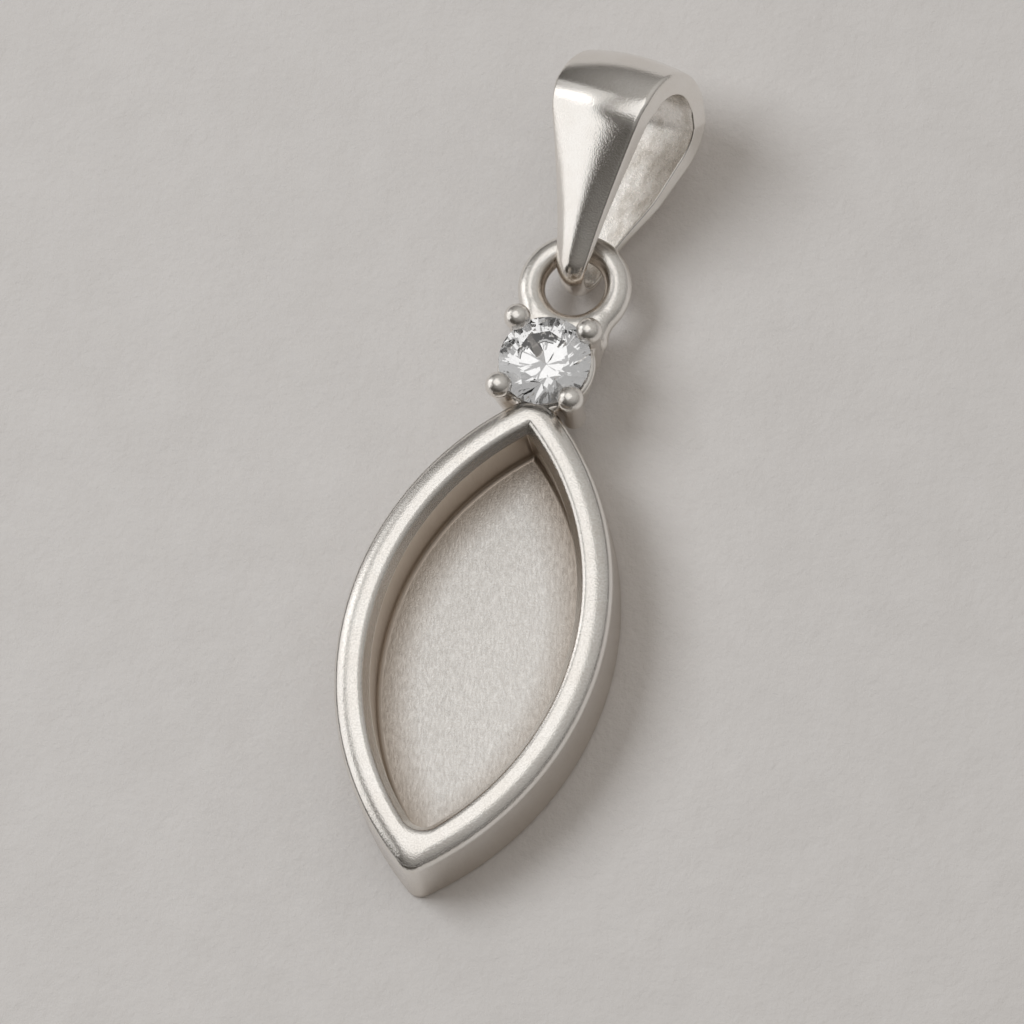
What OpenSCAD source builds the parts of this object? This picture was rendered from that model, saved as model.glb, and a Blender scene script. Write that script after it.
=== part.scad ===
// Pendant setting: a marquise bezel cup with a four-prong stone head, a soldered ring and a loose bail.
// The pendant lies on its back. X is its width, +Y points to the bail and +Z is up.
// The origin is the middle of the cup's flat back.

/* [Bezel cup] */
// Width of the recess between its side walls
recess_width = 7.1; // [6:0.1:9]
// Length of the recess if both of its ends were sharp
recess_length = 15.7; // [14:0.1:19]
// Depth of the recess from the rim to the floor
recess_depth = 2.5; // [1.5:0.1:2.6]
// Thickness of the floor
floor_thickness = 0.7; // [0.5:0.1:1.2]
// Thickness of the side wall
wall_thickness = 1.3; // [1:0.05:1.5]
// Width and depth of the bevel round the mouth of the recess
mouth_bevel = 0.32; // [0.1:0.02:0.4]
// Rounding of the rim's outer shoulder
shoulder_round = 0.4; // [0.2:0.05:0.5]
// Rounding of the outer edge of the back
back_round = 0.15; // [0.05:0.05:0.3]
// Rounding between the floor and the wall of the recess
floor_fillet = 0.2; // [0.1:0.05:0.3]
// Rounding of the outer corner at the head end, seen from above
head_corner = 1.3; // [0.6:0.1:1.5]
// Rounding of the outer corner at the free end, seen from above
free_corner = 0.6; // [0.55:0.05:1.2]
// Rounding of the recess at the free end, seen from above
recess_corner = 0.7; // [0.4:0.1:1]

/* [Stone head] */
// Girdle diameter of the round stone
stone_diameter = 3.4; // [3:0.1:3.6]
// Distance of the stone's middle from the middle of the cup
stone_y = 10.58; // [10.5:0.02:10.7]
// Height of the lower edge of the stone's girdle
girdle_z = 3.3; // [3.2:0.02:3.36]
// Diameter of the prongs' ball tips
ball_diameter = 0.9; // [0.8:0.05:1.1]
// Diameter of the prong stems
prong_diameter = 0.8; // [0.7:0.02:0.9]
// Distance of each ball tip from the stone's axis
ball_reach = 1.92; // [1.9:0.02:2]
// Distance of each prong's foot from the stone's axis
foot_reach = 1.6; // [1.5:0.02:1.8]

/* [Ring] */
// Diameter of the ring's wire
ring_wire = 1; // [0.9:0.05:1.05]
// Diameter of the ring, measured to the middle of its wire
ring_diameter = 3.2; // [3:0.05:3.3]
// Height of the ring's middle plane
ring_z = 1.65; // [1.6:0.05:1.8]

/* [Bail] */
// Width of the bail's band at its crown
crown_width = 4.2; // [3.4:0.1:4.6]
// Width of the bail's band where it passes through the ring
throat_width = 1; // [0.9:0.05:1]
// Thickness of the band's edge at the crown
crown_edge = 0.85; // [0.6:0.01:1]
// Thickness of the band's edge at the ring
throat_edge = 0.62; // [0.4:0.02:0.7]
// Height of the dome that the band's outer face has at the crown
crown_dome = 0.2; // [0.1:0.02:0.4]
// Height of the dome that the band's outer face has at the ring
throat_dome = 0.12; // [0.1:0.02:0.2]
// Inner radius of the loop's narrow end
throat_radius = 0.88; // [0.86:0.01:0.92]
// Inner radius of the crown's bend in front
front_radius = 1.35; // [1:0.05:1.5]
// Inner radius of the crown's bend at the back
back_radius = 1.75; // [1.4:0.05:1.9]
// Distance from the middle of the narrow end to the middle of the crown's front bend
loop_length = 4.95; // [4.6:0.1:6]

/* [Hidden] */
$fn = 96;

// How far a cutting shape runs past the face that it cuts
past = 1;

// Bezel cup
cup_height = floor_thickness + recess_depth;
half_width = recess_width / 2;
half_length = recess_length / 2;
recess_arc = (half_length ^ 2 + half_width ^ 2) / recess_width;
arc_offset = recess_arc - half_width;
cup_arc = recess_arc + wall_thickness;
cup_reach = 14;
sharp_heading = 75;
end_lap = 0.02;

// Stone, as a round brilliant with a flat table
girdle_radius = stone_diameter / 2;
girdle_thickness = 0.08;
table_radius = 0.57 * girdle_radius;
crown_height = 0.3 * girdle_radius;
star_radius = 0.76 * girdle_radius;
pavilion_depth = 0.86 * girdle_radius;
split_radius = 0.26 * girdle_radius;
facets = 8;
facet_turn = 360 / facets;
half_turn = facet_turn / 2;
stone_gap = 0.03;

// Head
ball_z = 3.6;
foot_z = 0.7;
collet_top = 2.95;
collet_top_radius = 1.8;
collet_foot_radius = 1.4;
collet_wall = 0.34;
ball_radius = ball_diameter / 2;

// Ring, whose wire is sunk in the head, with a shoulder of solder on each side
ring_radius = ring_diameter / 2;
ring_y = 14.17;
wire_radius = ring_wire / 2;
shoulder_x = 1.2;
shoulder_start_y = 11.9;
shoulder_end_y = 13.25;
shoulder_radius = 0.56;
shoulder_tip = 0.36;

// Bail at rest, leaning on its back leg with its narrow end loose in the ring
hinge_y = ring_y + ring_radius;
bail_slack = 0.08;
bail_shift = 0.22;
bail_pitch = 14.4;
bail_roll = -20;
bail_yaw = -6;
crown_lift = 0.58;
back_bend = loop_length - 0.6;
width_power = 1.2;
arc_steps = 10;
leg_steps = 10;
dome_steps = 6;
edge_chamfer = 0.08;
dome_share = 0.95;

// Circles that the loop's side view is laid round, as [length, depth, inner radius, thickness]
loop_circles = [
    [0, 0, throat_radius, throat_edge],
    [loop_length, crown_lift, front_radius, crown_edge],
    [back_bend, crown_lift, back_radius, crown_edge]
];
bends = len(loop_circles);

// Heading of the joint between a side arc and a rounded end, seen from the middle of the arc
function end_heading(reach, corner) = acos(arc_offset / (reach - corner));

// Distance from the origin to the middle of a rounded end, which stands a hair proud of the sides
function end_distance(reach, corner) = sqrt((reach - corner) ^ 2 - arc_offset ^ 2) + end_lap;

// A rounded end of an oval, turned about the upright axis in the middle of its corner
module rounded_end(y) {
    translate([0, y, 0])
        rotate_extrude()
            children();
}

// One half of a pointed oval, with its cross-section turned about the middle of the side arc
module oval_side(bottom_heading, top_heading) {
    intersection() {
        translate([-arc_offset, 0, 0])
            rotate_extrude(start = -bottom_heading, angle = bottom_heading + top_heading)
                children();
        translate([0, -cup_reach, -past])
            cube([cup_reach, 2 * cup_reach, cup_height + 3 * past]);
    }
}

module oval_sides(bottom_heading, top_heading) {
    for (side = [0, 1])
        mirror([side, 0, 0])
            oval_side(bottom_heading, top_heading)
                children();
}

// A quarter of a disc, in the quadrant that the turn gives
module quarter(radius, turn) {
    rotate(turn)
        intersection() {
            circle(radius);
            square(radius);
        }
}

// Cross-section of the cup's outside, out to the given reach
module cup_profile(reach) {
    translate([0, back_round])
        square([reach, cup_height - shoulder_round - back_round]);
    square([reach - back_round, cup_height - shoulder_round]);
    square([reach - shoulder_round, cup_height]);
    translate([reach - shoulder_round, cup_height - shoulder_round])
        quarter(shoulder_round, 0);
    translate([reach - back_round, back_round])
        quarter(back_round, -90);
}

// Cross-section of the recess, out to the given reach, with its bevelled mouth
module recess_profile(reach) {
    translate([0, floor_thickness])
        square([reach - floor_fillet, cup_height - floor_thickness]);
    translate([0, floor_thickness + floor_fillet])
        square([reach, cup_height - floor_thickness - floor_fillet]);
    translate([reach - floor_fillet, floor_thickness + floor_fillet])
        quarter(floor_fillet, -90);
    polygon([
        [0, cup_height - mouth_bevel],
        [reach, cup_height - mouth_bevel],
        [reach + mouth_bevel + past, cup_height + past],
        [0, cup_height + past]
    ]);
}

module cup_outside() {
    head_heading = end_heading(cup_arc, head_corner);
    free_heading = end_heading(cup_arc, free_corner);
    oval_sides(free_heading, head_heading)
        cup_profile(cup_arc);
    rounded_end(end_distance(cup_arc, head_corner))
        cup_profile(head_corner);
    rounded_end(-end_distance(cup_arc, free_corner))
        cup_profile(free_corner);
}

module recess() {
    free_heading = end_heading(recess_arc, recess_corner);
    oval_sides(free_heading, sharp_heading)
        recess_profile(recess_arc);
    rounded_end(-end_distance(recess_arc, recess_corner))
        recess_profile(recess_corner);
}

module cup() {
    difference() {
        cup_outside();
        recess();
    }
}

// Open tapered tube under the stone, which the prongs stand round
module collet() {
    rotate_extrude()
        polygon([
            [collet_foot_radius - collet_wall, foot_z],
            [collet_foot_radius, foot_z],
            [collet_top_radius, collet_top],
            [collet_top_radius - collet_wall, collet_top]
        ]);
}

// One prong, leaning outwards from its foot to its ball tip
module prong() {
    lean = atan2(ball_reach - foot_reach, ball_z - foot_z);
    length = norm([ball_reach - foot_reach, ball_z - foot_z]);
    translate([foot_reach, 0, foot_z])
        rotate([0, lean, 0])
            cylinder(d = prong_diameter, h = length);
    translate([ball_reach, 0, ball_z])
        sphere(ball_radius);
}

// Room for the stone, which also cuts the prongs' notches
module stone_room() {
    reach = girdle_radius + stone_gap;
    crown_slope = crown_height / (girdle_radius - table_radius);
    pavilion_slope = pavilion_depth / girdle_radius;
    crown_z = girdle_z + girdle_thickness + stone_gap;
    rotate_extrude()
        polygon([
            [0, girdle_z - stone_gap - pavilion_slope * reach],
            [reach, girdle_z - stone_gap],
            [reach, crown_z],
            [table_radius, crown_z + crown_slope * (reach - table_radius)],
            [0, crown_z + crown_slope * (reach - table_radius)]
        ]);
}

module head() {
    collet();
    for (turn = [45:90:315])
        rotate([0, 0, turn])
            prong();
}

// Soldered ring, with the solder that joins it to the two upper prongs
module ring() {
    translate([0, ring_y, ring_z])
        rotate_extrude()
            translate([ring_radius, 0])
                circle(wire_radius);
    for (side = [-1, 1])
        translate([side * shoulder_x, shoulder_start_y, ring_z])
            rotate([-90, 0, 0])
                cylinder(r1 = shoulder_radius, r2 = shoulder_tip, h = shoulder_end_y - shoulder_start_y);
}

// Cup, head and ring, cast and soldered as one piece of metal
module setting() {
    color("silver")
        difference() {
            union() {
                cup();
                translate([0, stone_y, 0])
                    head();
                ring();
            }
            translate([0, stone_y, 0])
                stone_room();
        }
}

// A ring of points at one height, one for each heading
function stone_ring(radius, height, count, first) =
    [for (i = [0:count - 1]) [
        radius * cos(first + i * 360 / count),
        radius * sin(first + i * 360 / count),
        height
    ]];

// Round brilliant: a table, stars, kites and upper girdle facets above, mains and lower girdle facets below
module brilliant() {
    star_z = crown_height * (girdle_radius - star_radius * cos(half_turn)) / (girdle_radius - table_radius);
    split_z = pavilion_depth * (split_radius * cos(half_turn) / girdle_radius - 1);
    rims = 2 * facets;
    table = stone_ring(table_radius, girdle_thickness + crown_height, facets, 0);
    stars = stone_ring(star_radius, girdle_thickness + star_z, facets, half_turn);
    upper = stone_ring(girdle_radius, girdle_thickness, rims, 0);
    lower = stone_ring(girdle_radius, 0, rims, 0);
    splits = stone_ring(split_radius, split_z, facets, half_turn);
    first_star = facets;
    first_upper = first_star + facets;
    first_lower = first_upper + rims;
    first_split = first_lower + rims;
    culet = first_split + facets;
    polyhedron(
        points = concat(table, stars, upper, lower, splits, [[0, 0, -pavilion_depth]]),
        faces = concat(
            [[for (i = [facets - 1:-1:0]) i]],
            [for (i = [0:facets - 1]) each crown_faces(i, first_star, first_upper, rims)],
            [for (i = [0:rims - 1]) girdle_face(i, first_upper, first_lower, rims)],
            [for (i = [0:facets - 1]) each pavilion_faces(i, first_lower, first_split, culet, rims)]
        )
    );
}

// A star, a kite and two upper girdle facets, all clockwise from outside
function crown_faces(i, first_star, first_upper, rims) =
    let (
        next = (i + 1) % facets,
        last = (i + facets - 1) % facets,
        here = first_upper + 2 * i,
        between = here + 1,
        there = first_upper + (2 * i + 2) % rims
    ) [
        [i, next, first_star + i],
        [i, first_star + i, here, first_star + last],
        [first_star + i, between, here],
        [first_star + i, there, between]
    ];

function girdle_face(i, first_upper, first_lower, rims) =
    let (next = (i + 1) % rims)
    [first_upper + i, first_upper + next, first_lower + next, first_lower + i];

// A main and two lower girdle facets
function pavilion_faces(i, first_lower, first_split, culet, rims) =
    let (
        last = (i + facets - 1) % facets,
        here = first_lower + 2 * i,
        between = here + 1,
        there = first_lower + (2 * i + 2) % rims
    ) [
        [culet, first_split + last, here, first_split + i],
        [first_split + i, here, between],
        [first_split + i, between, there]
    ];

module stone() {
    color("white")
        translate([0, stone_y, girdle_z])
            brilliant();
}

// Radius of a circle on the inner face, or on the outer edge where the share is 1
function bend_radius(bend, share) = loop_circles[bend][2] + share * loop_circles[bend][3];

// Heading of the outward normal on the straight that leaves a circle, going round clockwise
function straight_heading(bend, share) =
    let (
        next = (bend + 1) % bends,
        dx = loop_circles[next].x - loop_circles[bend].x,
        dy = loop_circles[next].y - loop_circles[bend].y,
        gain = bend_radius(next, share) - bend_radius(bend, share)
    )
    atan2(dy, dx) + 90 + asin(gain / norm([dx, dy]));

function bend_point(bend, share, heading) =
    let (radius = bend_radius(bend, share))
    [
        loop_circles[bend].x + radius * cos(heading),
        loop_circles[bend].y + radius * sin(heading)
    ];

// One straight and the bend after it, as points of the belt's side view
function belt_stretch(bend, share) =
    let (
        next = (bend + 1) % bends,
        heading = straight_heading(bend, share),
        turn = (heading - straight_heading(next, share) + 720) % 360,
        from = bend_point(bend, share, heading),
        to = bend_point(next, share, heading)
    )
    concat(
        [for (i = [0:leg_steps - 1]) from + (to - from) * i / leg_steps],
        [for (i = [0:arc_steps - 1]) bend_point(next, share, heading - turn * i / arc_steps)]
    );

function belt(share) = [for (bend = [0:bends - 1]) each belt_stretch(bend, share)];

function blend(low, high, share) = low + (high - low) * share;

// How far a point lies from the throat towards the crown, from 0 to 1
function rise(length) =
    let (share = (length + throat_radius) / (loop_length + throat_radius + front_radius / 3))
    min(1, max(0, share)) ^ width_power;

// The band's cross-section as [side, lift]: side runs from -1 to 1, and lift from the inner face
function band_section(edge, dome, half_band) =
    let (
        cut = edge_chamfer,
        sides = [for (i = [0:dome_steps]) dome_share * (2 * i / dome_steps - 1)]
    )
    concat(
        [[-1 + cut / half_band, 0], [-1, cut], [-1, edge - cut]],
        [for (side = sides) [side, edge + dome * (1 - side * side)]],
        [[1, edge - cut], [1, cut], [1 - cut / half_band, 0]]
    );

function band_ring(inner, outer) =
    let (
        share = rise(inner.x),
        outward = (outer - inner) / norm(outer - inner),
        half_band = blend(throat_width, crown_width, share) / 2,
        edge = blend(throat_edge, crown_edge, share),
        dome = blend(throat_dome, crown_dome, share)
    )
    [for (p = band_section(edge, dome, half_band)) [
        p.x * half_band,
        inner.x + outward.x * p.y,
        inner.y + outward.y * p.y
    ]];

// The bail's closed band, as one skin swept round the belt
module bail_loop() {
    inner = belt(0);
    outer = belt(1);
    stations = len(inner);
    rings = [for (i = [0:stations - 1]) band_ring(inner[i], outer[i])];
    section_size = len(rings[0]);
    count = stations * section_size;
    polyhedron(
        points = [for (ring = rings) each ring],
        faces = [
            for (i = [0:stations - 1])
                for (k = [0:section_size - 1])
                    let (
                        a = i * section_size + k,
                        b = i * section_size + (k + 1) % section_size,
                        c = (b + section_size) % count,
                        d = (a + section_size) % count
                    )
                    each [[a, c, b], [a, d, c]]
        ]
    );
}

module bail() {
    color("lightgray")
        translate([bail_shift, hinge_y - bail_slack, ring_z])
            rotate([0, 0, bail_yaw])
                rotate([bail_pitch, 0, 0])
                    rotate([0, bail_roll, 0])
                        bail_loop();
}

setting();
stone();
bail();
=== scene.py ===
"""Looks of a marquise bezel pendant setting: silver cup, head with its ring, bail and round stone."""

import math

import bpy
import numpy as np
from mathutils import Matrix, Vector


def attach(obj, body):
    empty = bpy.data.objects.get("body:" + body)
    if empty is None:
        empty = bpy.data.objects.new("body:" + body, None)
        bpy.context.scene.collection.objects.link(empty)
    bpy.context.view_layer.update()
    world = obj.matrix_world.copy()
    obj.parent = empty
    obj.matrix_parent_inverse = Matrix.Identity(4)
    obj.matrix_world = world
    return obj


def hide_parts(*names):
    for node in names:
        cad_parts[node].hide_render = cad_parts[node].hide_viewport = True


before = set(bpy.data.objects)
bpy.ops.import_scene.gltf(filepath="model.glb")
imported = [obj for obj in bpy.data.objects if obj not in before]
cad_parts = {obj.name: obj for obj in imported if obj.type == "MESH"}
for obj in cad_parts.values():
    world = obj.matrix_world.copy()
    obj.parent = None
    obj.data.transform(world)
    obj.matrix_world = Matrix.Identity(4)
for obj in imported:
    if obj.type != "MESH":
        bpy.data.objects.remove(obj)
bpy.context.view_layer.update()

# One millimetre in metres. Lengths below are in millimetres, and turns are in degrees
MM = 0.001
# Slack where two lengths are compared
HAIR = 0.001

# The cup: the arcs of its plan lie about axes this far to either side
ARC_OFFSET = 6.9035
RECESS_ARC = 10.4535
CUP_ARC = 11.7535
CUP_HEIGHT = 3.2
FLOOR_Z = 0.7
BACK_ROUND = 0.15
MOUTH_BEVEL = 0.3
MOUTH_DEPTH = 0.42
FLOOR_FILLET = 0.2
# Its outer shoulder's width and height, and the roundings below it, above it, on the crest and in the mouth
SHOULDER = 0.34
SHOULDER_FOOT_ROUND = 0.42
SHOULDER_TOP_ROUND = 0.75
CREST_ROUND = 0.3
MOUTH_ROUND = 0.06
# Flat that is kept beside the back's edge and beside the floor's fillet
BACK_LAND = 0.05
FLOOR_LAND = 0.08
# Radii of its tips in plan: the outside's at the head and at the free end, and the same of the recess
HEAD_CORNER = 1.3
FREE_CORNER = 0.6
SHARP_CORNER = 0.05
RECESS_CORNER = 0.7
# Painted shade on its side, darkest at the floor: the most, the height where it ends, and how far in from
# the side it goes
SIDE_SHADE = 0.55
SIDE_SHADE_TOP = 2
SIDE_DEPTH = 0.6
# Its material slots, and how many of the profile's last rings are floor
SATIN_SLOT, WALL_SLOT, FLOOR_SLOT = range(3)
FLOOR_RINGS = 4

# The stone and its head
STONE_Y = 10.58
GIRDLE_Z = 3.3
GIRDLE_RADIUS = 1.7
GIRDLE_THICKNESS = 0.08
STONE_GAP = 0.03
FACETS = 8
TABLE_RADIUS = 0.57 * GIRDLE_RADIUS
CROWN_HEIGHT = 0.3 * GIRDLE_RADIUS
STAR_RADIUS = 0.76 * GIRDLE_RADIUS
PAVILION_DEPTH = 0.86 * GIRDLE_RADIUS
SPLIT_RADIUS = 0.26 * GIRDLE_RADIUS
BALL_RADIUS = 0.49
PRONG_RADIUS = 0.44
PRONG_TAPER = 0.02
BALL_REACH = 1.92
FOOT_REACH = 1.6
BALL_Z = 3.6
FOOT_Z = 0.7
COLLET_TOP = 2.95
COLLET_TOP_RADIUS = 1.8
COLLET_FOOT_RADIUS = 1.4
COLLET_WALL = 0.34
# Fillets between prong and collet, head and ring, head and cup, and prong and ball
PRONG_FILLET = 0.16
RING_FILLET = 0.2
CUP_FILLET = 0.22
BALL_FILLET = 0.06
# Where the part of the cup that solder joins starts, and how far it keeps inside the real surface
CUP_TIP_Y = 8.35
CUP_TIP_INSET = 0.02

# The ring
RING_Y = 14.17
RING_Z = 1.65
RING_RADIUS = 1.6
WIRE_RADIUS = 0.5
# The two shoulders of solder beside it, from the head's side to the ring's
SOLDER_X = 1.2
SOLDER_FOOT_Y = 12.3
SOLDER_TIP_Y = 13.0
SOLDER_FOOT_RADIUS = 0.54
SOLDER_TIP_RADIUS = 0.4
SOLDER_FILLET = 0.3

# Grid of the head's surface: its box, its step, and how the points are then settled on the surface
NET_LOW = (-2.6, 8.2, -0.1)
NET_HIGH = (2.6, 16.5, 4.3)
NET_STEP = 0.045
NET_ROUNDS = 4
PROBE_SHARE = 0.1
LEAST_SLOPE = 0.25

# The head's tarnishing and painted shade: darker in hollows, tarnished there and painted shade too, felt
# for at this distance, and painted shade on the ring's inside
HOLLOW_REACH = 0.3
HOLLOW_GAIN = 1.1
HOLLOW_SHADE_AND_TARNISH = 0.8
INWARD_GAIN = 1.4
INWARD_START = 0.5
INWARD_SHADE = 0.75

# The bail
BAIL_PLACE = (0.22, 15.69, 1.65)
BAIL_YAW = -6
BAIL_PITCH = 14.4
BAIL_ROLL = -20
CROWN_WIDTH = 4.2
THROAT_WIDTH = 1.17
CROWN_DOME = 0.2
THROAT_DOME = 0.12
THROAT_EDGE = 0.3
BAND_ROUND = 0.2
INNER_ROUND = 0.06
EDGE_HOLD = 0.03
WIDTH_POWER = 1.3
# The hidden leg is narrower on its right near the throat, by this much, fading out over this length
THROAT_TRIM = 0.5
TRIM_LENGTH = 2.8
# Painted shade round the throat, under the ring: the most, where it starts along the loop, and the length
# it grows over
THROAT_SHADE = 0.35
THROAT_SHADE_START = 0.5
THROAT_SHADE_LENGTH = 1.5
# Circles that its side view is laid round, the throat's first: length, depth, inner radius, thickness
LOOP_CIRCLES = ((-0.37, 0, 0.89, 0.44), (4.95, 0.58, 1.35, 0.85), (4.35, 0.58, 1.75, 0.85))


def new_piece(name, points, faces, smooth=True):
    """A mesh object from points in millimetres."""
    mesh = bpy.data.meshes.new(name)
    mesh.from_pydata([tuple(p) for p in np.asarray(points, float) * MM], [], [tuple(f) for f in faces])
    mesh.validate()
    mesh.polygons.foreach_set("use_smooth", [smooth] * len(mesh.polygons))
    mesh.update()
    piece = bpy.data.objects.new(name, mesh)
    bpy.context.scene.collection.objects.link(piece)
    return piece


def write_shade_and_tarnish(piece, shares):
    """Writes each point's share of painted shade and tarnishing, for the silver's shader."""
    piece.data.attributes.new("shade_and_tarnish", "FLOAT", "POINT").data.foreach_set("value", shares)


def clamped(share):
    return min(1, max(0, share))


def arc(start, end, steps):
    """Headings in radians from start to end, given in degrees, both ends included."""
    return np.radians(np.linspace(start, end, steps + 1))


# Cup

def outline(reach, head_corner, free_corner, side_steps=150, corner_steps=14):
    """Half of a pointed oval with rounded tips, from the head's end down its right side."""
    head_reach = math.sqrt((reach - head_corner) ** 2 - ARC_OFFSET ** 2)
    free_reach = math.sqrt((reach - free_corner) ** 2 - ARC_OFFSET ** 2)
    head_turn = math.degrees(math.acos(ARC_OFFSET / (reach - head_corner)))
    free_turn = math.degrees(math.acos(ARC_OFFSET / (reach - free_corner)))
    head = arc(90, head_turn, corner_steps)[:-1]
    side = arc(head_turn, -free_turn, side_steps)
    free = arc(-free_turn, -90, corner_steps)[1:]
    return np.vstack([
        np.column_stack([head_corner * np.cos(head), head_reach + head_corner * np.sin(head)]),
        np.column_stack([reach * np.cos(side) - ARC_OFFSET, reach * np.sin(side)]),
        np.column_stack([free_corner * np.cos(free), -free_reach + free_corner * np.sin(free)]),
    ])


def rounded(corners, gap=0.03, steps=8):
    """A line through corners of across, up and radius, each an arc with a point held straight beside it."""
    points = [corners[0][:2]]
    for before, here, after in zip(corners, corners[1:], corners[2:]):
        middle = np.array(here[:2])
        first, second = (np.array(c[:2]) - middle for c in (before, after))
        first, second = first / np.linalg.norm(first), second / np.linalg.norm(second)
        half = math.acos(np.clip(first @ second, -1, 1)) / 2
        reach = here[2] / math.tan(half)
        centre = middle + (first + second) / np.linalg.norm(first + second) * here[2] / math.sin(half)
        start, end = middle + first * reach - centre, middle + second * reach - centre
        turn = math.pi - 2 * half
        points.append(tuple(centre + start + first * gap))
        for share in np.linspace(0, 1, steps + 1):
            spoke = start * math.sin((1 - share) * turn) + end * math.sin(share * turn)
            points.append(tuple(centre + spoke / math.sin(turn)))
        points.append(tuple(centre + end + second * gap))
    return points + [corners[-1][:2]]


def cup_profile():
    """Rings of the cup from the back over the rim to the floor: reach, height and the radii of the tips."""
    mouth = RECESS_ARC + MOUTH_BEVEL
    corners = [
        (CUP_ARC - BACK_ROUND - BACK_LAND, 0, 0),
        (CUP_ARC, 0, BACK_ROUND),
        (CUP_ARC, CUP_HEIGHT - SHOULDER, SHOULDER_FOOT_ROUND),
        (CUP_ARC - SHOULDER, CUP_HEIGHT, SHOULDER_TOP_ROUND),
        (mouth, CUP_HEIGHT, CREST_ROUND),
        (RECESS_ARC, CUP_HEIGHT - MOUTH_DEPTH, MOUTH_ROUND),
        (RECESS_ARC, FLOOR_Z, FLOOR_FILLET),
        (RECESS_ARC - FLOOR_FILLET - FLOOR_LAND, FLOOR_Z, 0),
    ]
    free_mouth = RECESS_CORNER + MOUTH_BEVEL
    rings = []
    for reach, z in rounded(corners):
        share = min(1, (CUP_ARC - reach) / (CUP_ARC - mouth))
        head_corner = HEAD_CORNER + (SHARP_CORNER - HEAD_CORNER) * share
        free_corner = FREE_CORNER + (free_mouth - FREE_CORNER) * share + min(0, reach - mouth)
        rings.append((reach, z, head_corner, free_corner))
    return rings


def make_cup():
    points, faces = [], []
    rings = cup_profile()
    for reach, z, head_corner, free_corner in rings:
        half = outline(reach, head_corner, free_corner)
        whole = np.vstack([half, half[-2:0:-1] * (-1, 1)])
        points.append(np.column_stack([whole, np.full(len(whole), z)]))
    size = len(points[0])
    for level in range(len(rings) - 1):
        for i in range(size):
            a, b = level * size + i, level * size + (i + 1) % size
            faces.append((a, a + size, b + size, b))
    last = (len(rings) - 1) * size
    for i in range(size // 2):
        right, left = (i, i + 1), (size - i - 1, (size - i) % size)
        back = [*right, *left]
        back = [v for k, v in enumerate(back) if v not in back[:k]]
        faces.append(tuple(back))
        faces.append(tuple(last + v for v in reversed(back)))
    piece = new_piece("bezel_cup", np.vstack(points), faces)
    # Painted shade on the cup's outer side, darkest at the floor and gone at a set height
    shade_and_tarnish_share = [
        SIDE_SHADE * max(0, 1 - z / SIDE_SHADE_TOP) if reach > CUP_ARC - SIDE_DEPTH else 0
        for reach, z, _, _ in rings
    ]
    write_shade_and_tarnish(piece, np.repeat(shade_and_tarnish_share, size))
    wall_start = next(k for k, ring in enumerate(rings) if ring[0] < RECESS_ARC + HAIR) * size
    floor_start = (len(rings) - FLOOR_RINGS) * size
    for face in piece.data.polygons:
        low = min(face.vertices)
        if low >= floor_start:
            face.material_index = FLOOR_SLOT
        else:
            face.material_index = WALL_SLOT if low >= wall_start else SATIN_SLOT
    return piece


# Head and ring, as one soldered shape

def smooth_least(a, b, width):
    """The lesser of two distances, with a fillet of about that width between them."""
    share = np.clip(0.5 + 0.5 * (b - a) / width, 0, 1)
    return b + (a - b) * share - width * share * (1 - share)


def from_segment(p, start, end, start_radius, end_radius):
    """Distance from a rod with rounded ends whose radius runs from one value to the other."""
    start, end = np.array(start), np.array(end)
    along = end - start
    share = np.clip(((p - start) @ along) / (along @ along), 0, 1)
    gap = p - start - share[:, None] * along
    return np.sqrt((gap * gap).sum(1)) - (start_radius + (end_radius - start_radius) * share)


def from_cup_tip(p):
    """Distance from the cup's outside near its head end."""
    reach = math.sqrt((CUP_ARC - HEAD_CORNER) ** 2 - ARC_OFFSET ** 2)
    x, y, z = np.abs(p[:, 0]), p[:, 1], p[:, 2]
    beyond = x * reach < (y - reach) * ARC_OFFSET
    flat = np.where(
        beyond,
        np.hypot(x, y - reach) - HEAD_CORNER,
        np.hypot(x + ARC_OFFSET, y) - CUP_ARC,
    )
    middle = CUP_HEIGHT / 2
    rounding = np.where(z > middle, SHOULDER_TOP_ROUND, BACK_ROUND)
    side = flat + rounding
    tall = np.abs(z - middle) - middle + rounding
    outside = np.hypot(np.maximum(side, 0), np.maximum(tall, 0))
    shape = np.minimum(np.maximum(side, tall), 0) + outside - rounding
    return np.maximum(shape + CUP_TIP_INSET, CUP_TIP_Y - y)


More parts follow.
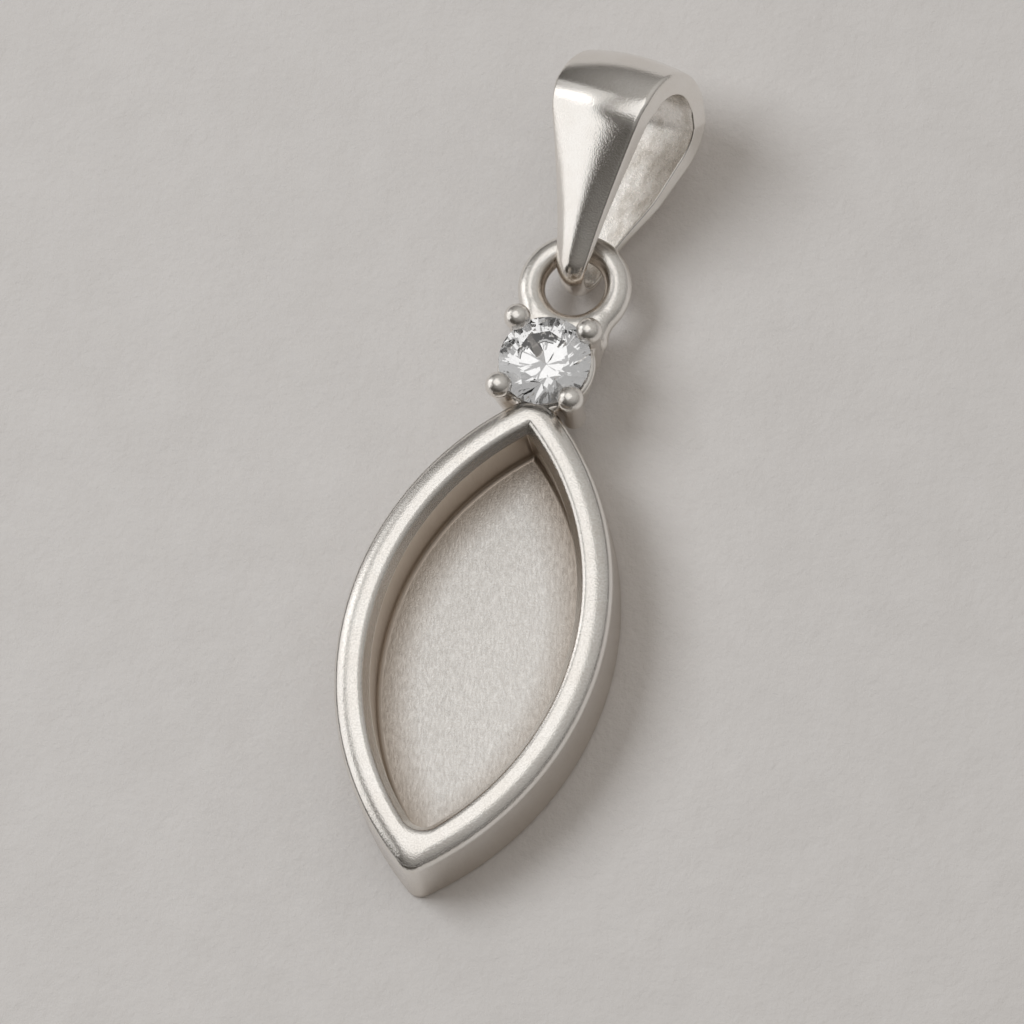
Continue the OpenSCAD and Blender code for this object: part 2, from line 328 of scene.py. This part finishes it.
def from_head(p):
    """Distance from the head, the ring and the solder between them and the cup."""
    local = p - (0, STONE_Y, 0)
    around = np.hypot(local[:, 0], local[:, 1])
    z = p[:, 2]
    half_wall = COLLET_WALL / 2
    profile = np.column_stack([around, np.zeros(len(p)), z])
    collet = from_segment(
        profile,
        (COLLET_FOOT_RADIUS - half_wall, 0, FOOT_Z + half_wall),
        (COLLET_TOP_RADIUS - half_wall, 0, COLLET_TOP - half_wall),
        half_wall,
        half_wall,
    )
    diagonal = math.sqrt(0.5)
    folded = np.column_stack([np.abs(local[:, 0]), np.abs(local[:, 1]), z])
    foot = (FOOT_REACH * diagonal, FOOT_REACH * diagonal, FOOT_Z + PRONG_RADIUS)
    tip = (BALL_REACH * diagonal, BALL_REACH * diagonal, BALL_Z)
    stem = from_segment(folded, foot, tip, PRONG_RADIUS, PRONG_RADIUS - PRONG_TAPER)
    head = smooth_least(collet, stem, PRONG_FILLET)
    wire = np.hypot(np.hypot(p[:, 0], p[:, 1] - RING_Y) - RING_RADIUS, z - RING_Z) - WIRE_RADIUS
    side = np.column_stack([np.abs(p[:, 0]), p[:, 1], z])
    solder = from_segment(
        side,
        (SOLDER_X, SOLDER_FOOT_Y, RING_Z),
        (SOLDER_X, SOLDER_TIP_Y, RING_Z),
        SOLDER_FOOT_RADIUS,
        SOLDER_TIP_RADIUS,
    )
    head = smooth_least(head, smooth_least(wire, solder, SOLDER_FILLET), RING_FILLET)
    head = smooth_least(head, from_cup_tip(p), CUP_FILLET)
    ball = np.sqrt(((folded - tip) ** 2).sum(1)) - BALL_RADIUS
    head = smooth_least(head, ball, BALL_FILLET)
    return np.maximum(head, -stone_room(around, z))


def stone_room(around, z):
    """Distance from the hollow that the stone sits in."""
    reach = GIRDLE_RADIUS + STONE_GAP
    crown_slope = CROWN_HEIGHT / (GIRDLE_RADIUS - TABLE_RADIUS)
    pavilion_slope = PAVILION_DEPTH / GIRDLE_RADIUS
    crown_z = GIRDLE_Z + GIRDLE_THICKNESS + STONE_GAP
    side = around - reach
    below = (GIRDLE_Z - STONE_GAP + pavilion_slope * side - z) / math.hypot(1, pavilion_slope)
    above = (z - crown_z + crown_slope * side) / math.hypot(1, crown_slope)
    return np.maximum(np.maximum(side, below), above)


def surface_net(distance, low, high, step):
    """Points and quads of the zero surface of a distance function, on a grid of that step."""
    axes = [np.arange(a, b + step, step) for a, b in zip(low, high)]
    shape = tuple(len(a) for a in axes)
    values = np.empty(shape)
    for i, x in enumerate(axes[0]):
        yy, zz = np.meshgrid(axes[1], axes[2], indexing="ij")
        slab = np.column_stack([np.full(yy.size, x), yy.ravel(), zz.ravel()])
        values[i] = distance(slab).reshape(yy.shape)
    inside = values < 0
    cells = tuple(n - 1 for n in shape)
    total, count = np.zeros(cells + (3,)), np.zeros(cells)
    corners = [(a, b, c) for a in (0, 1) for b in (0, 1) for c in (0, 1)]
    for one in corners:
        for axis in range(3):
            if one[axis]:
                continue
            other = tuple(v + (k == axis) for k, v in enumerate(one))
            here = tuple(slice(v, v + n) for v, n in zip(one, cells))
            there = tuple(slice(v, v + n) for v, n in zip(other, cells))
            first, second = values[here], values[there]
            crossed = (first < 0) != (second < 0)
            share = np.where(crossed, first / np.where(crossed, first - second, 1), 0)
            for k in range(3):
                total[..., k] += crossed * (one[k] + (share if k == axis else 0))
            count += crossed
    used = count > 0
    number = np.full(cells, -1)
    number[used] = np.arange(used.sum())
    index = np.argwhere(used)
    points = np.array(low) + step * (index + total[used] / count[used][:, None])
    faces = []
    for axis in range(3):
        u, v = (axis + 1) % 3, (axis + 2) % 3
        here = [slice(1, n - 1) for n in shape]
        here[axis] = slice(0, shape[axis] - 1)
        there = list(here)
        there[axis] = slice(1, shape[axis])
        start, end = inside[tuple(here)], inside[tuple(there)]
        crossed = np.argwhere(start != end)
        flip = start[tuple(crossed.T)]
        crossed += [s.start for s in here]
        ring = []
        for du, dv in ((-1, -1), (0, -1), (0, 0), (-1, 0)):
            cell = crossed.copy()
            cell[:, u] += du
            cell[:, v] += dv
            ring.append(number[tuple(cell.T)])
        quads = np.column_stack(ring)
        faces.append(np.where(flip[:, None], quads, quads[:, ::-1]))
    probe = step * PROBE_SHARE
    for _ in range(NET_ROUNDS):
        value = distance(points)
        slope = np.column_stack([
            distance(points + offset) - distance(points - offset) for offset in np.eye(3) * probe
        ]) / (2 * probe)
        points = points - slope * (value / np.maximum((slope ** 2).sum(1), LEAST_SLOPE))[:, None]
    return points, np.vstack(faces)


def make_head():
    points, faces = surface_net(from_head, NET_LOW, NET_HIGH, NET_STEP)
    piece = new_piece("stone_head", points, faces)
    normals = np.empty(len(points) * 3)
    piece.data.vertices.foreach_get("normal", normals)
    normals = normals.reshape(-1, 3)
    # Tarnished in the hollows, which also paints the shade there, found by how far the surface lies a short
    # way out
    hollow = 1 - from_head(points + normals * HOLLOW_REACH) / HOLLOW_REACH
    spoke = points - (0, RING_Y, 0)
    spoke[:, 2] = 0
    spoke /= np.maximum(np.linalg.norm(spoke, axis=1), 0.01)[:, None]
    # Painted shade on the side of the ring that faces its hole
    inward = np.where(points[:, 1] > SOLDER_FOOT_Y, -(normals * spoke).sum(1), 0)
    shade_and_tarnish_share = np.clip(hollow * HOLLOW_GAIN, 0, 1) * HOLLOW_SHADE_AND_TARNISH
    shade_and_tarnish_share += np.clip(inward * INWARD_GAIN - INWARD_START, 0, INWARD_SHADE)
    write_shade_and_tarnish(piece, np.clip(shade_and_tarnish_share, 0, 1))
    return piece


# Stone: a round brilliant

def make_stone():
    half_turn = math.pi / FACETS
    rims = 4 * FACETS
    star_in = GIRDLE_RADIUS - STAR_RADIUS * math.cos(half_turn)
    star_z = CROWN_HEIGHT * star_in / (GIRDLE_RADIUS - TABLE_RADIUS)
    split_z = PAVILION_DEPTH * (SPLIT_RADIUS * math.cos(half_turn) / GIRDLE_RADIUS - 1)

    def ring(radius, z, count, first=0.0):
        turns = first + np.arange(count) * 2 * math.pi / count
        return np.column_stack([radius * np.cos(turns), radius * np.sin(turns), np.full(count, z)])

    table = ring(TABLE_RADIUS, GIRDLE_THICKNESS + CROWN_HEIGHT, FACETS)
    stars = ring(STAR_RADIUS, GIRDLE_THICKNESS + star_z, FACETS, half_turn)
    upper = ring(GIRDLE_RADIUS, GIRDLE_THICKNESS, rims)
    lower = ring(GIRDLE_RADIUS, 0, rims)
    splits = ring(SPLIT_RADIUS, split_z, FACETS, half_turn)
    points = np.vstack([table, stars, upper, lower, splits, [[0, 0, -PAVILION_DEPTH]]])
    first_star = FACETS
    first_upper = 2 * FACETS
    first_lower = first_upper + rims
    first_split = first_lower + rims
    culet = first_split + FACETS
    faces = [tuple(range(FACETS))]
    for i in range(FACETS):
        following, last = (i + 1) % FACETS, (i - 1) % FACETS
        star, split = first_star + i, first_split + i
        up = [first_upper + (4 * i + k) % rims for k in range(5)]
        low = [first_lower + (4 * i + k) % rims for k in range(5)]
        faces.append((i, star, following))
        faces.append((i, first_star + last, up[0], star))
        faces.append((star, up[0], up[1], up[2]))
        faces.append((star, up[2], up[3], up[4]))
        faces.append((culet, split, low[0], first_split + last))
        faces.append((split, low[2], low[1], low[0]))
        faces.append((split, low[4], low[3], low[2]))
        faces += [(up[k], low[k], low[k + 1], up[k + 1]) for k in range(4)]
    return new_piece("round_stone", points + (0, STONE_Y, GIRDLE_Z), faces, smooth=False)


# Bail

def bend_radius(bend, share):
    return LOOP_CIRCLES[bend][2] + share * LOOP_CIRCLES[bend][3]


def straight_heading(bend, share):
    """Heading of the outward normal on the straight that leaves a circle, going round clockwise."""
    here, there = LOOP_CIRCLES[bend], LOOP_CIRCLES[(bend + 1) % 3]
    dx, dy = there[0] - here[0], there[1] - here[1]
    gain = bend_radius((bend + 1) % 3, share) - bend_radius(bend, share)
    return math.atan2(dy, dx) + math.pi / 2 + math.asin(gain / math.hypot(dx, dy))


def bend_point(bend, share, heading):
    radius = bend_radius(bend, share)
    return np.array([
        LOOP_CIRCLES[bend][0] + radius * math.cos(heading),
        LOOP_CIRCLES[bend][1] + radius * math.sin(heading),
    ])


def belt(share, leg_steps=44, arc_steps=44):
    """The side view of the loop's inner line, or of its outer edge where the share is 1."""
    points = []
    for bend in range(3):
        following = (bend + 1) % 3
        heading = straight_heading(bend, share)
        turn = (heading - straight_heading(following, share)) % (2 * math.pi)
        start, end = bend_point(bend, share, heading), bend_point(following, share, heading)
        points += [start + (end - start) * i / leg_steps for i in range(leg_steps)]
        headings = [heading - turn * i / arc_steps for i in range(arc_steps)]
        points += [bend_point(following, share, heading) for heading in headings]
    return np.array(points)


def band_section(edge, dome, half_band):
    """Cross-section of the band as side and lift: a flat inside, soft corners and a domed outside."""
    slope = math.atan2(2 * dome, half_band)
    side, lift = half_band - BAND_ROUND, edge - BAND_ROUND
    inner_side = half_band - INNER_ROUND
    inner_end = INNER_ROUND + EDGE_HOLD
    points = [(0, 0), (half_band * 0.6, 0), (half_band - inner_end, 0)]
    for a in arc(-90, 0, 5):
        points.append((inner_side + INNER_ROUND * math.cos(a), INNER_ROUND + INNER_ROUND * math.sin(a)))
    points += [(half_band, inner_end), (half_band, lift - EDGE_HOLD)]
    for a in arc(0, 90 - math.degrees(slope), 8):
        points.append((side + BAND_ROUND * math.cos(a), lift + BAND_ROUND * math.sin(a)))
    top = points[-1]
    rise = math.tan(slope) * top[0] / 2
    points += [(s * top[0], top[1] + rise * (1 - s * s)) for s in np.linspace(1, 0, 15)[1:]]
    return np.array(points + [(-x, y) for x, y in points[-2:0:-1]])


def make_bail():
    throat, crown = LOOP_CIRCLES[0], LOOP_CIRCLES[1]
    rings, shade_and_tarnish_share = [], []
    for near, far in zip(belt(0), belt(1)):
        share = (near[0] - throat[0] + throat[2]) / (crown[0] - throat[0] + throat[2] + crown[2] / 3)
        share = clamped(share) ** WIDTH_POWER
        outward = (far - near) / np.linalg.norm(far - near)
        half_band = (THROAT_WIDTH + (CROWN_WIDTH - THROAT_WIDTH) * share) / 2
        edge = THROAT_EDGE + (crown[3] - THROAT_EDGE) * share
        whole = throat[3] + THROAT_DOME + (crown[3] + CROWN_DOME - throat[3] - THROAT_DOME) * share
        fade = clamped(1 - near[0] / TRIM_LENGTH)
        trim = THROAT_TRIM / 2 * fade * fade * (3 - 2 * fade) * clamped(0.5 - near[1] / throat[2] / 2)
        section = band_section(edge, whole - edge, half_band - trim)
        rings.append(np.column_stack([section[:, 0] - trim, near + outward * section[:, 1:]]))
        # Painted shade round the throat, where it passes under the ring
        shade_and_tarnish_share += [THROAT_SHADE * clamped((THROAT_SHADE_START - near[0]) / THROAT_SHADE_LENGTH)] * len(section)
    size, count = len(rings[0]), len(rings)
    faces = []
    for i in range(count):
        for k in range(size):
            a, b = i * size + k, i * size + (k + 1) % size
            c, d = (b + size) % (count * size), (a + size) % (count * size)
            faces.append((a, d, c, b))
    turn = (
        Matrix.Rotation(math.radians(BAIL_YAW), 3, "Z")
        @ Matrix.Rotation(math.radians(BAIL_PITCH), 3, "X")
        @ Matrix.Rotation(math.radians(BAIL_ROLL), 3, "Y")
    )
    points = np.vstack(rings) @ np.array(turn).T + BAIL_PLACE
    piece = new_piece("bail_band", points, faces)
    write_shade_and_tarnish(piece, shade_and_tarnish_share)
    for face in piece.data.polygons:
        face.material_index = int(face.index % size in (0, 1, size - 2, size - 1))
    return piece


cup = make_cup()
head = make_head()
stone = make_stone()
bail = make_bail()


# Materials: base colours, from and to where there are two

SILVER_TINTS = ((0.88, 0.85, 0.81), (0.92, 0.90, 0.87))
SPECKLE_TINT = (0.58, 0.535, 0.48)
# Colour of the painted shade and the tarnishing, mixed in by the points' attribute
SHADE_AND_TARNISH_TINT = (0.50, 0.42, 0.34)
STAIN_TINT = (0.46, 0.41, 0.35)
# Painted shade of the recess's wall, from its mouth to its floor
WALL_SHADE_TINTS = ((0.73, 0.65, 0.57), (0.49, 0.42, 0.355))
FLOOR_TINTS = ((0.88, 0.85, 0.81), (1.0, 0.99, 0.975))
# Painted shade at the edge of the recess's floor
FLOOR_SHADE_TINT = (0.60, 0.53, 0.46)
GROUND_TINTS = ((0.82, 0.775, 0.74), (0.875, 0.83, 0.795))

# Sizes of the fine grain, and the width of the painted shade along the edge of the recess's floor
SILVER_GRAIN = 0.065
FLOOR_GRAIN = 0.07
FLOOR_SHADE_WIDTH = 1.5
# Turns that bring the brushing and the stains in line with their stretch
STREAK_TURN = -14.7
STAIN_TURN = 20


def linked(tree, kind, sources=(), **values):
    """A new node with plain values by input name, its own settings, and (input, output socket) links."""
    made = tree.nodes.new(kind)
    for key, value in values.items():
        if hasattr(made, key):
            setattr(made, key, value)
        else:
            made.inputs[key.replace("_", " ")].default_value = value
    for target, socket in sources:
        tree.links.new(socket, made.inputs[target])
    return made


def start_material(name):
    material = bpy.data.materials.new(name)
    material.use_nodes = True
    tree = material.node_tree
    place = tree.nodes.new("ShaderNodeTexCoord").outputs["Object"]
    return material, tree, tree.nodes["Principled BSDF"], place


def noise(tree, place, size, detail=2.0, roughness=0.5):
    """Noise whose features are about that many millimetres across."""
    made = linked(tree, "ShaderNodeTexNoise", [("Vector", place)], Detail=detail, Roughness=roughness)
    made.inputs["Scale"].default_value = 1 / (size * MM)
    return made.outputs["Fac"]


def stretched(tree, place, turn, factors):
    """The place turned about the upright axis by that many degrees, then stretched."""
    turned = linked(tree, "ShaderNodeVectorRotate", [("Vector", place)], rotation_type="Z_AXIS")
    turned.inputs["Angle"].default_value = math.radians(turn)
    scaled = linked(tree, "ShaderNodeVectorMath", [(0, turned.outputs["Vector"])], operation="MULTIPLY")
    scaled.inputs[1].default_value = factors
    return scaled.outputs["Vector"]


def ranged(tree, value, low, high, start=0.0, end=1.0):
    """The value between start and end, mapped to low and high and held there outside."""
    made = linked(tree, "ShaderNodeMapRange", [("Value", value)])
    for key, number in (("From Min", start), ("From Max", end), ("To Min", low), ("To Max", high)):
        made.inputs[key].default_value = number
    return made.outputs["Result"]


def mixed(tree, factor, first, second):
    """A mix of two colours, each of them plain or from a node."""
    made = linked(tree, "ShaderNodeMix", [("Factor", factor)], data_type="RGBA")
    for key, value in ((6, first), (7, second)):
        if isinstance(value, tuple):
            made.inputs[key].default_value = (*value, 1)
        else:
            tree.links.new(value, made.inputs[key])
    return made.outputs[2]


def bumped(tree, height, depth, under=None):
    """A bump whose full height is about that many millimetres, over another bump where given."""
    made = linked(tree, "ShaderNodeBump", [("Height", height)], Strength=1, Distance=depth * MM)
    if under is not None:
        tree.links.new(under, made.inputs["Normal"])
    return made.outputs["Normal"]


def silver(name, smooth, rough, grain, waves, speckle, stains=0.0):
    """Silver between two roughnesses, with grain and waves that deep and shares of speckle and stains."""
    material, tree, shader, place = start_material(name)
    shader.inputs["Metallic"].default_value = 1
    patches = noise(tree, place, 1.3, detail=4, roughness=0.6)
    tint = mixed(tree, ranged(tree, patches, 0, 1, 0.35, 0.65), *SILVER_TINTS)
    sand = noise(tree, place, SILVER_GRAIN, detail=2, roughness=0.6)
    tint = mixed(tree, ranged(tree, sand, speckle, 0, 0.32, 0.62), tint, SPECKLE_TINT)
    # Painted shade and tarnishing from the points' attribute, mixed into the colour
    shade_and_tarnish_share = linked(tree, "ShaderNodeAttribute", attribute_name="shade_and_tarnish").outputs["Fac"]
    tint = mixed(tree, shade_and_tarnish_share, tint, SHADE_AND_TARNISH_TINT)
    if stains:
        drawn = stretched(tree, place, STAIN_TURN, (1, 0.45, 1))
        blots = noise(tree, drawn, 1.1, detail=4, roughness=0.65)
        tint = mixed(tree, ranged(tree, blots, 0, stains, 0.45, 0.7), tint, STAIN_TINT)
    tree.links.new(tint, shader.inputs["Base Color"])
    finish = noise(tree, place, 0.25, detail=5, roughness=0.7)
    tree.links.new(ranged(tree, finish, smooth, rough, 0.3, 0.7), shader.inputs["Roughness"])
    soft = bumped(tree, noise(tree, place, 1.6, detail=2, roughness=0.5), waves)
    tree.links.new(bumped(tree, sand, grain, soft), shader.inputs["Normal"])
    return material


def recess_wall(name):
    """Silver with painted shade that darkens towards the recess's floor, with upright marks."""
    material, tree, shader, place = start_material(name)
    shader.inputs["Metallic"].default_value = 1
    height = linked(tree, "ShaderNodeSeparateXYZ", [("Vector", place)]).outputs["Z"]
    # Painted shade: the wall's colour darkens from the mouth down to the floor
    depth = ranged(tree, height, 1, 0, FLOOR_Z * MM, (CUP_HEIGHT - MOUTH_DEPTH) * MM)
    tree.links.new(mixed(tree, depth, *WALL_SHADE_TINTS), shader.inputs["Base Color"])
    marks = noise(tree, stretched(tree, place, 0, (1, 1, 0.2)), 0.12, detail=3, roughness=0.6)
    tree.links.new(ranged(tree, marks, 0.25, 0.4), shader.inputs["Roughness"])
    tree.links.new(bumped(tree, marks, 0.008), shader.inputs["Normal"])
    return material


def recess_floor(name):
    """Brushed silver with painted shade along the recess's wall, by the distance from the wall's own axis.
    """
    material, tree, shader, place = start_material(name)
    shader.inputs["Metallic"].default_value = 1
    drawn = stretched(tree, place, STREAK_TURN, (1, 0.3, 1))
    streaks = noise(tree, drawn, 0.08, detail=2, roughness=0.6)
    sand = noise(tree, place, FLOOR_GRAIN, detail=2, roughness=0.6)
    tint = mixed(tree, ranged(tree, sand, 0, 1, 0.3, 0.7), *FLOOR_TINTS)
    mirrored = linked(tree, "ShaderNodeVectorMath", [(0, place)], operation="ABSOLUTE").outputs["Vector"]
    placed = linked(tree, "ShaderNodeVectorMath", [(0, mirrored)], operation="ADD")
    placed.inputs[1].default_value = (ARC_OFFSET * MM, 0, -FLOOR_Z * MM)
    reach = linked(tree, "ShaderNodeVectorMath", [(0, placed.outputs["Vector"])], operation="LENGTH")
    start = RECESS_ARC - FLOOR_SHADE_WIDTH
    # Painted shade on the recess's floor, darkest at the wall
    wall_shade = ranged(tree, reach.outputs["Value"], 0, 1, start * MM, RECESS_ARC * MM)
    tree.links.new(mixed(tree, wall_shade, tint, FLOOR_SHADE_TINT), shader.inputs["Base Color"])
    tree.links.new(ranged(tree, streaks, 0.42, 0.6, 0.3, 0.7), shader.inputs["Roughness"])
    brushed = bumped(tree, streaks, 0.012)
    tree.links.new(bumped(tree, sand, 0.014, brushed), shader.inputs["Normal"])
    return material


def glass(name):
    material, _, shader, _ = start_material(name)
    shader.inputs["Base Color"].default_value = (1, 1, 1, 1)
    shader.inputs["Roughness"].default_value = 0
    shader.inputs["IOR"].default_value = 2.0
    shader.inputs["Transmission Weight"].default_value = 1
    return material


def ground(name):
    """A pale matt floor: mottled, with bumps of three sizes, one over another."""
    material, tree, shader, place = start_material(name)
    mottle = noise(tree, place, 3.5, detail=8, roughness=0.75)
    tint = mixed(tree, ranged(tree, mottle, 0, 1, 0.3, 0.7), *GROUND_TINTS)
    tree.links.new(tint, shader.inputs["Base Color"])
    shader.inputs["Roughness"].default_value = 0.85
    shader.inputs["Specular IOR Level"].default_value = 0.2
    layers = ((1.6, 3, 0.5, 0.10), (0.3, 3, 0.6, 0.04), (0.07, 2, 0.6, 0.014))
    relief = None
    for size, detail, roughness, depth in layers:
        relief = bumped(tree, noise(tree, place, size, detail, roughness), depth, relief)
    tree.links.new(relief, shader.inputs["Normal"])
    return material


for piece, materials in (
    (bail, (
        silver("polished_silver", smooth=0.08, rough=0.14, grain=0.0055, waves=0.006, speckle=0.12),
        silver("bail_inside", smooth=0.2, rough=0.34, grain=0.006, waves=0.02, speckle=0.3, stains=0.8),
    )),
    (cup, (
        silver("satin_silver", smooth=0.15, rough=0.24, grain=0.010, waves=0.010, speckle=0.3),
        recess_wall("recess_wall"),
        recess_floor("brushed_floor"),
    )),
    (head, (silver("head_silver", smooth=0.17, rough=0.26, grain=0.007, waves=0.008, speckle=0.22),)),
    (stone, (glass("clear_stone"),)),
):
    for material in materials:
        piece.data.materials.append(material)

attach(cup, "pendant")
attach(head, "pendant")
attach(stone, "pendant")
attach(bail, "bail")
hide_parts("setting")
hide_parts("setting")
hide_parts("stone")
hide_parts("bail")

# Floor, a hair below the part
GROUND_REACH = 1500
GROUND_Z = -0.02
signs = ((-1, -1), (1, -1), (1, 1), (-1, 1))
corners = [(GROUND_REACH * x, GROUND_REACH * y, GROUND_Z) for x, y in signs]
floor = new_piece("floor", corners, [(0, 1, 2, 3)])
floor.data.materials.append(ground("pale_floor"))

# Camera at the photograph's angle
AZIMUTH, ELEVATION, ROLL = (math.radians(v) for v in (33.4, 68.3, 20))
DISTANCE = 500
PICTURE_WIDTH = 37.169
SENSOR_WIDTH = 36
# Where the picture's middle lies, to its right and up from the part's origin
AIM = (1.0563, 5.3648)
right = Vector((math.cos(AZIMUTH), math.sin(AZIMUTH), 0))
up = Vector((
    -math.sin(AZIMUTH) * math.sin(ELEVATION),
    math.cos(AZIMUTH) * math.sin(ELEVATION),
    math.cos(ELEVATION),
))
back = right.cross(up)
image_right = math.cos(ROLL) * right - math.sin(ROLL) * up
image_up = math.sin(ROLL) * right + math.cos(ROLL) * up
aim = (AIM[0] * image_right + AIM[1] * image_up) * MM
eye = back * (DISTANCE * MM)
toward = (eye - aim).normalized()
side = image_up.cross(toward).normalized()
camera_data = bpy.data.cameras.new("camera")
camera_data.sensor_width = SENSOR_WIDTH
camera_data.lens = SENSOR_WIDTH * DISTANCE / PICTURE_WIDTH
camera_data.clip_start = 0.01
camera_data.clip_end = 20
camera = bpy.data.objects.new("camera", camera_data)
facing = Matrix((side, toward.cross(side), toward)).transposed().to_4x4()
camera.matrix_world = Matrix.Translation(eye) @ facing
bpy.context.scene.collection.objects.link(camera)
bpy.context.scene.camera = camera

# Lights, placed by the picture's own directions on the floor
FLOOR_RIGHT = Vector((image_right.x, image_right.y, 0)).normalized()
FLOOR_UP = Vector((-FLOOR_RIGHT.y, FLOOR_RIGHT.x, 0))


def softbox(name, distance, turn, height, across, tall, radiance, colour, on_metal, on_floor, in_stone):
    """A rectangular light by its distance, its turn in the picture (0 right, 90 top), its elevation and
    its half spreads, that shows where it is let."""
    turn, height = math.radians(turn), math.radians(height)
    level = FLOOR_RIGHT * math.cos(turn) + FLOOR_UP * math.sin(turn)
    way = level * math.cos(height) + Vector((0, 0, math.sin(height)))
    flat = Vector((0, 0, 1)).cross(way).normalized()
    distance *= MM
    data = bpy.data.lights.new(name, "AREA")
    data.shape = "RECTANGLE"
    data.size = 2 * distance * math.tan(math.radians(across))
    data.size_y = 2 * distance * math.tan(math.radians(tall))
    data.energy = radiance * math.pi * data.size * data.size_y
    data.color = colour
    light = bpy.data.objects.new(name, data)
    turned = Matrix((flat, way.cross(flat), way)).transposed().to_4x4()
    light.matrix_world = Matrix.Translation(way * distance) @ turned
    light.visible_glossy = on_metal
    light.visible_diffuse = on_floor
    light.visible_transmission = in_stone
    bpy.context.scene.collection.objects.link(light)


PANEL_DISTANCE = 80
KEY_DISTANCE = 500
WARM_WHITE = (1, 0.99, 0.98)
COOL_WHITE = (0.95, 1, 1.05)
for name, turn, height, across, tall, radiance, in_stone in (
    ("left_panel", 168, 20, 25, 19, 0.95, False),
    ("overhead_panel", 128, 77, 22, 25, 0.60, True),
    ("middle_panel", 139, 27, 12, 18, 0.46, False),
):
    softbox(name, PANEL_DISTANCE, turn, height, across, tall, radiance, WARM_WHITE, True, False, in_stone)
softbox("key", KEY_DISTANCE, 160, 54, 15, 15, 4.5, COOL_WHITE, False, True, False)

# Sky of the studio: darker on the viewer's side, and even for rays that have passed through the stone
SKY_LOW = (0.066, 0.06, 0.053)
SKY_HIGH = (0.52, 0.505, 0.485)
STONE_SKY = (0.46, 0.455, 0.45)
SKY_WAY = FLOOR_UP * 0.302 + FLOOR_RIGHT * 0.393 + Vector((0, 0, 0.868))
world = bpy.data.worlds.new("studio")
bpy.context.scene.world = world
world.use_nodes = True
sky = world.node_tree
way = sky.nodes.new("ShaderNodeTexCoord").outputs["Generated"]
lean = linked(sky, "ShaderNodeVectorMath", [(0, way)], operation="DOT_PRODUCT")
lean.inputs[1].default_value = SKY_WAY
tone = mixed(sky, lean.outputs["Value"], SKY_LOW, SKY_HIGH)
through = sky.nodes.new("ShaderNodeLightPath").outputs["Is Transmission Ray"]
sky.links.new(mixed(sky, through, tone, STONE_SKY), sky.nodes["Background"].inputs["Color"])
bpy.context.scene.view_settings.view_transform = "Standard"
